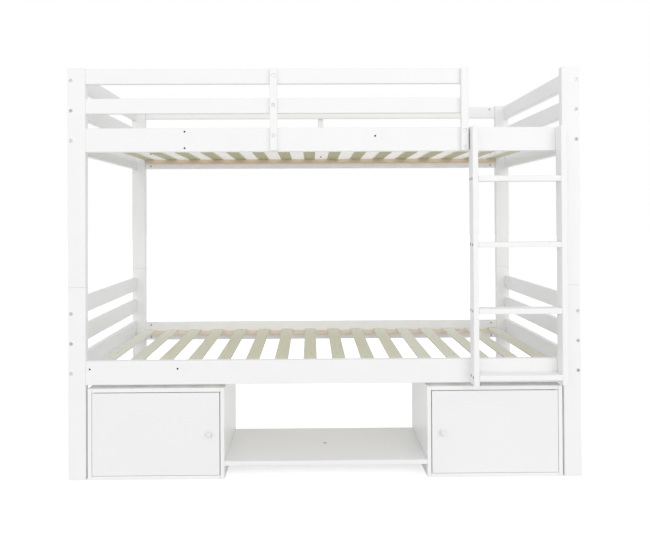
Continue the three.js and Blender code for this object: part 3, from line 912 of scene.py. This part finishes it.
# %% [markdown]
# ## Slats and cleats
# The imported solid fuses the slats with the cleats under them. Here each slat is a board of its own
# again, with its own turn of the timber pattern, so no two look alike. A screw holds each end.
# The slats aren't equally pale. Their tone is a power of the distance from the darkest one, which
# is flat in the middle of the berth and rises towards its ends: partly the slats' own tone, partly
# painted bounce light from the white end rails.

# %% Slats and cleats
SLAT_COUNT = 16
SLAT_WIDTH = 0.058
SLAT_THICKNESS = 0.008
SLAT_END_GAP = 0.040
CLEAT_THICKNESS = 0.022
CLEAT_GAP = 0.0003
CLEAT_TO_POST = 0.012
SLAT_RADIUS = 0.0015
DARKEST_SLAT = {"lower": 6, "upper": 7}
TONE_REACH = {"lower": 6.0, "upper": 7.5}
TONE_POWER = {"lower": 3, "upper": 8}
RIGHT_TONE = {"lower": 0.55, "upper": 1.0}
CLEAT_TONE = {"lower": 0.9, "upper": 0.0}
# Only the upper berth's slats, seen from below, get painted shade on their undersides.
UNDERSIDE_SHADE = {"lower": 0.0, "upper": 1.0}
slat_screw_places = []


def marked(piece, **numbers):
    """Writes named numbers on all points of a piece, for its paint to read."""
    for name, number in numbers.items():
        for point in piece.data.attributes.new(name, "FLOAT", "POINT").data:
            point.value = number
    return piece


def slat_tone(berth, index):
    """0 for the darkest slat and 1 for the palest, counted from the left."""
    away = (index - DARKEST_SLAT[berth]) / TONE_REACH[berth]
    return min(abs(away) ** TONE_POWER[berth], RIGHT_TONE[berth] if away > 0 else 1.0)


def cleat_span(face, berth):
    """The front and rear faces of a cleat, on the inside of its side rail."""
    near = limit(f"{face}_{berth}_side_rail", "y", -FACES[face]) - FACES[face] * CLEAT_GAP
    return sorted((near, near - FACES[face] * CLEAT_THICKNESS))


for berth in BERTHS:
    node = f"{berth}_slat_base"
    low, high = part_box(node)
    slat_bottom = high.z - SLAT_THICKNESS
    for face in FACES:
        front, rear = cleat_span(face, berth)
        reach = limit(f"{face}_right_{berth}_post", "x", -1) - CLEAT_TO_POST
        box = Vector((-reach, front, low.z)), Vector((reach, rear, slat_bottom))
        piece = board_in(f"{face}_{berth}_cleat", box, "x", cleat_timber, SLAT_RADIUS, BUTTED_END)
        stand_for(marked(piece, tone=CLEAT_TONE[berth]), node)
    first = limit(f"left_{berth}_end_bottom_rail", "x", 1) + SLAT_END_GAP + SLAT_WIDTH / 2
    for index in range(SLAT_COUNT):
        x = first * (1 - 2 * index / (SLAT_COUNT - 1))
        left, right = x - SLAT_WIDTH / 2, x + SLAT_WIDTH / 2
        box = Vector((left, low.y, slat_bottom)), Vector((right, high.y, high.z))
        piece = board_in(f"{berth}_slat_{index + 1}", box, "y", slat_timber, SLAT_RADIUS, BUTTED_END)
        stand_for(marked(piece, tone=slat_tone(berth, index), unplaned=UNDERSIDE_SHADE[berth]), node)
        for face in FACES:
            y = sum(cleat_span(face, berth)) / 2
            slat_screw_places.append((Vector((x, y, high.z)), UP))
print(len(slat_screw_places), "screws in the slats")

# %% [markdown]
# ## Cabinets
# Each cabinet is five panels and a door between its sides. The door turns on two pins at the
# corner by the bed post, so no hinge shows. The panels' edges are hardly rounded. The door's are
# rounder, which lets it turn in a narrow gap.

# %% Cabinet panels and doors
DOOR_RADIUS = 0.0024
PIVOT_HOLE_RADIUS, PIVOT_HOLE_DEPTH = 0.0029, 0.0103
KNOB_SCREW_RADIUS = 0.0025


def pivot_hole(end, z, inward):
    axis = centre(f"{end}_door_bottom_pivot")
    return drill(Vector((axis.x, axis.y, z)), inward, PIVOT_HOLE_RADIUS, PIVOT_HOLE_DEPTH)


for end in ENDS:
    panel(f"{end}_cabinet_outer_side", "z")
    panel(f"{end}_cabinet_inner_side", "z")
    panel(f"{end}_cabinet_back", "z", radius=BUTTED_END, ease=BUTTED_END)
    for level, side, inward in (("bottom", 1, DOWN), ("top", -1, UP)):
        node = f"{end}_cabinet_{level}"
        panel(node, "x", [pivot_hole(end, limit(node, "z", side), inward)])
    low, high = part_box(f"{end}_door")
    knob = centre(f"{end}_door_knob")
    through = high.y - low.y + CLEAR
    screw = drill(Vector((knob.x, low.y, knob.z)), OUT["rear"], KNOB_SCREW_RADIUS, through)
    holes = [pivot_hole(end, low.z, UP), pivot_hole(end, high.z, DOWN), screw]
    panel(f"{end}_door", "z", holes, radius=DOOR_RADIUS, paint=door_paint)

# %% [markdown]
# The knob is a turned form: a foot, a cove and a domed head. Its profile is a few curves, written
# with sines, and the turning function above does the rest. The pins are turned too.

# %% Knobs and pins
FOOT_RADIUS, FOOT_HEIGHT = 0.007, 0.002
WAIST_RADIUS = 0.00525
DOME_LENGTH = 0.0115
LIP = 0.0012
PIVOT_RADIUS, PIVOT_REACH = 0.0025, 0.010
KNOB_TURNED_STEPS = 48
QUARTER_STEPS = 10
SOFT = 0.0005
quarter = quarter_turn(QUARTER_STEPS)


def knob_profile(radius, length):
    shoulder = length - DOME_LENGTH
    cove = shoulder - LIP - FOOT_HEIGHT
    flare = radius - LIP - WAIST_RADIUS
    foot = [(0, 0), (FOOT_RADIUS - SOFT, 0), (FOOT_RADIUS, SOFT)]
    foot += [(FOOT_RADIUS, FOOT_HEIGHT - SOFT), (FOOT_RADIUS - SOFT, FOOT_HEIGHT)]
    neck = [(WAIST_RADIUS + flare * (1 - cos(a)), FOOT_HEIGHT + cove * sin(a)) for a in quarter]
    rim = [(radius - LIP + LIP * sin(a), shoulder - LIP * cos(a)) for a in quarter[2::2]]
    dome = [(radius * cos(a), shoulder + DOME_LENGTH * sin(a)) for a in quarter[1:-1]]
    return foot + neck + rim + dome + [(0, length)]


def pin_profile(node):
    low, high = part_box(node)
    half, flange = (high.z - low.z) / 2, (high.x - low.x) / 2
    pin, thick = PIVOT_RADIUS, half - PIVOT_REACH
    return mirrored([
        (flange, thick - SOFT / 2), (flange - SOFT / 2, thick), (pin, thick), (pin, half - SOFT),
        (pin - SOFT, half), (0, half),
    ])


for end in ENDS:
    node = f"{end}_door_knob"
    low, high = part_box(node)
    mesh = turned_mesh(node, knob_profile((high.z - low.z) / 2, high.y - low.y), KNOB_TURNED_STEPS)
    base = Vector((centre(node).x, high.y, centre(node).z))
    stand_for(painted(node + "_turned", mesh, knob_lacquer, pointing(base, OUT["front"])), node)
    for level in ("bottom", "top"):
        node = f"{end}_door_{level}_pivot"
        mesh, middle = turned_mesh(node, pin_profile(node)), Matrix.Translation(centre(node))
        stand_for(painted(node + "_turned", mesh, zinc_plating, middle), node)

# %% [markdown]
# ## Shelf
# The shelf spans the gap between the cabinets. A short foot under its middle, held by one screw
# from above, keeps it from sagging.

# %% Shelf
panel("shelf", "x")
board("shelf_foot", "z")
foot = centre("shelf_foot")
shelf_screw_places = [(Vector((foot.x, foot.y, limit("shelf", "z", 1))), UP)]
print("shelf screw at", [round(side, 4) for side in shelf_screw_places[0][0]])

# %% [markdown]
# ## Bolt heads, nuts and screws
# Hardware is small, but a counterbore with nothing in it looks wrong from near. Each kind is made
# once: a turned head, with its socket or slots cut out. Its copies are then joined into one piece,
# which keeps the number of pieces low.

# %% Heads
HEX_SIDES = 6
HEAD_STEPS = 24
CROSS_WIDTH = 0.0011
TOOL_OVER = 0.001


def socket(radius, depth, top):
    """A tool that cuts a six-sided socket into the top of a head."""
    above = top + TOOL_OVER
    profile = [(0, top - depth), (radius, top - depth), (radius, above), (0, above)]
    return turned_mesh("socket", profile, HEX_SIDES), Matrix.Identity(4)


def straight_slot(width, length, depth, top, angle=0):
    """A tool that cuts a straight slot into the top of a head."""
    mesh = board_mesh("slot", length, width, depth + TOOL_OVER, width / 8, width / 8)
    place = Matrix.Translation((0, 0, top + TOOL_OVER / 2 - depth / 2))
    return mesh, Matrix.Rotation(angle, 4, "Z") @ place


def hardware(profile, tools, steps=TURNED_STEPS):
    """A turned head with its drive cut in. Its top faces +Z and its seat is at Z = 0."""
    head = link("head", turned_mesh("head", profile, steps))
    for tool in tools:
        subtract(head, [tool])
    mesh = head.data
    bpy.data.objects.remove(head)
    return mesh


def head_profile(radius, height, crown):
    """A cylinder head with a softly rounded top edge."""
    rim = [(radius - crown + crown * cos(a), height - crown + crown * sin(a)) for a in quarter[::2]]
    return [(0, 0), (radius, 0), *rim, (0, height)]


def dome_profile(radius, height):
    """A pan head: a low dome."""
    dome = [(radius * cos(a), height * sin(a)) for a in quarter[1:-1]]
    return [(0, 0), (radius, 0), *dome, (0, height)]


def hexed(profile, radius, depth):
    """A head with a six-sided socket."""
    return hardware(profile, [socket(radius, depth, profile[-1][1])])


def crossed(profile, length, depth):
    """A head with a cross slot."""
    top = profile[-1][1]
    slots = [straight_slot(CROSS_WIDTH, length, depth, top, angle) for angle in (0, pi / 2)]
    return hardware(profile, slots, HEAD_STEPS)


NUT_LENGTH = 0.012
INSERT_PROFILE = [
    (0, 0), (0.0038, 0), (0.0038, 0.0128), (0.0036, 0.013), (0.0029, 0.013), (0.0027, 0.0126),
    (0.0027, 0.004), (0, 0.002),
]
insert = turned_mesh("insert", INSERT_PROFILE)
nut_slot = straight_slot(width=0.0014, length=0.012, depth=0.0016, top=NUT_LENGTH)
nut_end = hardware(head_profile(radius=0.0047, height=NUT_LENGTH, crown=0.0005), [nut_slot])
bolt_head = hexed(head_profile(radius=0.0063, height=0.003, crown=0.0008), radius=0.0031, depth=0.0022)
flange_bolt = hexed(head_profile(radius=0.0072, height=0.0026, crown=0.001), radius=0.0023, depth=0.0018)
rung_screw = crossed(head_profile(radius=0.0061, height=0.0036, crown=0.0006), length=0.0064, depth=0.0014)
flat_screw = crossed(head_profile(radius=0.0038, height=0.0006, crown=0.0002), length=0.0044, depth=0.0005)
pan_screw = crossed(dome_profile(radius=0.0042, height=0.0022), length=0.0046, depth=0.0014)
wide_screw = crossed(dome_profile(radius=0.0072, height=0.0024), length=0.0066, depth=0.0018)
print("bolt head has", len(bolt_head.polygons), "faces")

# %% Place the hardware
SPIN_STEP = 0.37
TONE_STEP = 0.618
NUT_SINK = 0.0145
INSERT_SINK = 0.0172
SEATED = 0.0001


def scattered(name, mesh, places, sink, body="root", paint=zinc_plating, tones=(0.3, 0.9)):
    """Copies of a head at (place, outward direction) pairs, each with its own turn and tone."""
    placed = []
    for index, (place, out) in enumerate(places):
        spin = Matrix.Rotation(pi / 2 * (index * SPIN_STEP % 1), 4, "Z")
        placed.append((mesh, pointing(place - out * sink, out) @ spin))
    whole = joined_mesh(name, placed)
    each = len(mesh.vertices)
    for index, point in enumerate(whole.attributes.new("tone", "FLOAT", "POINT").data):
        point.value = tones[0] + (tones[1] - tones[0]) * (index // each * TONE_STEP % 1)
    fitting(name, whole, paint, body)


# Tones run from bright to dull. The dull end is partly painted shade of the holes, most on the barrel nuts
# deep in their cross holes.
scattered("post_bolts", bolt_head, head_places, HEAD_DEPTH)
scattered("guard_bolts", bolt_head, guard_places, HEAD_DEPTH, tones=(0.0, 0.3))
scattered("barrel_nuts", nut_end, nut_places, NUT_SINK, tones=(0.7, 1.0))
scattered("threaded_inserts", insert, insert_places, INSERT_SINK, paint=blackened_steel_and_shade)
scattered("ladder_bolts", flange_bolt, ladder_bolt_places, 0.0)
# The rung screws are near-black: painted shade of their counterbores.
scattered("rung_screws", rung_screw, rung_screw_places, RUNG_SCREW_DEPTH, paint=blackened_steel_and_shade)
scattered("slat_screws", flat_screw, slat_screw_places, SEATED)
scattered("shelf_screw", wide_screw, shelf_screw_places, SEATED, tones=(0.5, 0.6))

# %% [markdown]
# ## Inside the cabinets
# With a door open, its working parts show: the knob's screw, the strike plate, and the magnetic
# catch that the plate meets. The catch is fixed to the side panel at the door's free edge, just
# behind the door, and shows through the gap as a break in its dark line.

# %% Catches, plates and knob screws
CATCH_RISE = 0.207
CATCH_HEIGHT, CATCH_WIDTH, CATCH_DEPTH = 0.034, 0.013, 0.026
CATCH_RADIUS, CATCH_EASE = 0.0012, 0.001
POLE_LENGTH, POLE_WIDTH, POLE_THICKNESS = CATCH_HEIGHT * 0.72, 0.004, 0.0012
POLE_OFFSET = 0.0028
POLE_SINK = 0.0008
PLATE_HEIGHT, PLATE_WIDTH, PLATE_THICKNESS = 0.036, 0.013, 0.001
PLATE_MARGIN = 0.004
PLATE_SINK = 0.0004
STEEL_RADIUS = 0.0003
DOOR_CLEARANCE = 0.0016
UPRIGHT_FLAT = LENGTHWISE["z"] @ Matrix.Rotation(pi / 2, 4, "X")

for end, side in ENDS.items():
    low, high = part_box(f"{end}_door")
    wall_x = limit(f"{end}_cabinet_inner_side", "x", side)
    front_y = high.y + DOOR_CLEARANCE
    corner = Vector((min(wall_x, wall_x + side * CATCH_WIDTH), front_y, CATCH_RISE - CATCH_HEIGHT / 2))
    far = corner + Vector((CATCH_WIDTH, CATCH_DEPTH, CATCH_HEIGHT))
    housing = f"{end}_catch_housing"
    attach(board_in(housing, (corner, far), "z", catch_plastic, CATCH_RADIUS, CATCH_EASE), "root")
    pole = board_mesh("pole", POLE_LENGTH, POLE_WIDTH, POLE_THICKNESS, STEEL_RADIUS, STEEL_RADIUS)
    spots = [
        Vector(((corner.x + far.x) / 2 + offset, front_y - POLE_SINK, CATCH_RISE))
        for offset in (-POLE_OFFSET, POLE_OFFSET)
    ]
    poles = joined_mesh("poles", [(pole, Matrix.Translation(spot) @ UPRIGHT_FLAT) for spot in spots])
    fitting(f"{end}_catch_poles", poles, zinc_plating, "root")
    plate = board_mesh("plate", PLATE_HEIGHT, PLATE_WIDTH, PLATE_THICKNESS, STEEL_RADIUS, STEEL_RADIUS)
    plate_x = limit(f"{end}_door", "x", -side) + side * (PLATE_WIDTH / 2 + PLATE_MARGIN)
    place = Matrix.Translation((plate_x, high.y + PLATE_THICKNESS / 2 - PLATE_SINK, CATCH_RISE))
    fitting(f"{end}_strike_plate", plate, zinc_plating, f"{end}_door", place @ UPRIGHT_FLAT)
    knob = centre(f"{end}_door_knob")
    places = [(Vector((knob.x, high.y, knob.z)), OUT["rear"])]
    scattered(f"{end}_knob_screw", pan_screw, places, SEATED, f"{end}_door")

# %% [markdown]
# ## Floor, lamps and world
# The picture is a cut-out on white. The floor here is pale and takes the bed's soft shadow, and a
# ray that comes from the camera sees extra glow on it, so that it reads as white without any
# more light on the bed. The world does the same. The light itself is a studio's: two wide lamps
# far in front, the right one stronger, and a fill from everywhere that is a trace brighter in front.
# Light that has bounced between boards turns warm, most of all under the slats. So the fill is a
# little cool and the lamps warm by as much, and the white reads as neutral in light and in shade.

# %% Floor
FLOOR_SIZE = 60
FLOOR_DROP = 0.0006
FLOOR_GLOW = 0.60
FLOOR_TONE = 0.86


def seen_straight(start):
    """1 for rays that come from the camera or from a mirror or glass, and 0 for other light."""
    kinds = ("Is Camera Ray", "Is Glossy Ray", "Is Transmission Ray")
    camera_ray, glossy, through = (start.node("LightPath", None, None, kind) for kind in kinds)
    return (camera_ray + glossy + through).maths("MINIMUM", 1.0)


floor_paint = bpy.data.materials.new("floor")
start = emptied(floor_paint)
matt = start.node("BsdfDiffuse", None, {"Color": (FLOOR_TONE, FLOOR_TONE, FLOOR_TONE, 1)})
glow = start.node("Emission", None, {"Color": (1, 1, 1, 1), "Strength": seen_straight(start) * FLOOR_GLOW})
both = start.node("AddShader", None, {0: matt, 1: glow})
start.node("OutputMaterial", None, {"Surface": both})

floor_mesh = bpy.data.meshes.new("floor")
half = FLOOR_SIZE / 2
corners = [(-half, -half, 0), (half, -half, 0), (half, half, 0), (-half, half, 0)]
floor_mesh.from_pydata(corners, [], [(0, 1, 2, 3)])
floor_mesh.materials.append(floor_paint)
link("floor", floor_mesh, Matrix.Translation((0, 0, -FLOOR_DROP)))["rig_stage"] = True

# %% World and lamps
FILL = 0.785
FRONT_FILL = 0.10
FILL_TINT = (0.943, 0.950, 1, 1)
LAMP_TINT = (1, 0.969, 0.82)
LAMP_WIDTH, LAMP_HEIGHT = 6.0, 3.8
LAMP_TARGET = Vector((0, 0, 0.9))
LAMPS = {"right": (Vector((3.8, -8.2, 3.9)), 138), "left": (Vector((-3.8, -8.2, 3.9)), 72)}

world = bpy.data.worlds.new("studio")
start = emptied(world)
seen = seen_straight(start)
light = FILL - FRONT_FILL * start.node("TexCoord", None, None, "Generated").part("Y")
tint = seen.mix(FILL_TINT, (1, 1, 1, 1))
sky = start.node("Background", None, {"Color": tint, "Strength": seen + (1 - seen) * light})
start.node("OutputWorld", None, {"Surface": sky})
bpy.context.scene.world = world

for name, (place, watts) in LAMPS.items():
    area = bpy.data.lights.new(name, "AREA")
    area.shape = "RECTANGLE"
    area.size, area.size_y = LAMP_WIDTH, LAMP_HEIGHT
    area.energy = watts
    area.color = LAMP_TINT
    aim = (LAMP_TARGET - place).to_track_quat("-Z", "Y").to_matrix().to_4x4()
    link(name, area, Matrix.Translation(place) @ aim)

bpy.context.scene.view_settings.view_transform = "Standard"

# %% [markdown]
# ## Size against the frame
# The finished pieces are meant to stay inside the measured frame. Their box is measured, and how
# far it differs from the frame's box is printed.

# %% Sizes
visual_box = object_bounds()
growth = (visual_box[1] - visual_box[0]) - (cad_box[1] - cad_box[0])
print("visual box minus frame box, in mm:", [round(1000 * side, 2) for side in growth])
